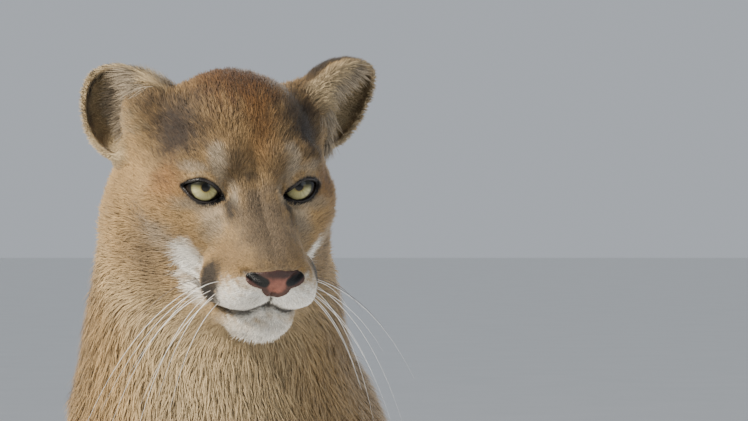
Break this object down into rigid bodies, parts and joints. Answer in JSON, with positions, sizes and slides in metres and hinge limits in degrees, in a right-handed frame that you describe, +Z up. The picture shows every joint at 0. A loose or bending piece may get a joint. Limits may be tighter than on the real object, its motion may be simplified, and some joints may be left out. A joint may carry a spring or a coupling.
{
  "type": "cougar",
  "caption": "Life-size sitting cougar as a still museum model, head turned to its left, tail laid round the left haunch.",
  "frame": {"origin": "on the floor under the middle of the whole model's box", "axes": "+Z up, -Y the way the chest faces, +X towards the animal's left"},
  "size_m": [0.4774, 0.8148, 0.8911],
  "materials": {
    "coat": "short soft fur, tawny above and cream below",
    "eye": "glossy",
    "nose": "damp, fine grained"
  },
  "bodies": {
    "root": {"head": "coat", "lower_jaw": "coat", "ear_left": "coat", "ear_right": "coat", "neck": "coat", "torso": "coat", "foreleg_left": "coat", "foreleg_right": "coat", "forepaw_left": "coat", "forepaw_right": "coat", "thigh_left": "coat", "thigh_right": "coat", "hindfoot_left": "coat", "hindfoot_right": "coat", "tail_base": "coat", "tail_middle": "coat", "tail_tip": "coat", "eye_left": "eye", "eye_right": "eye", "nose": "nose"}
  },
  "joints": []
}
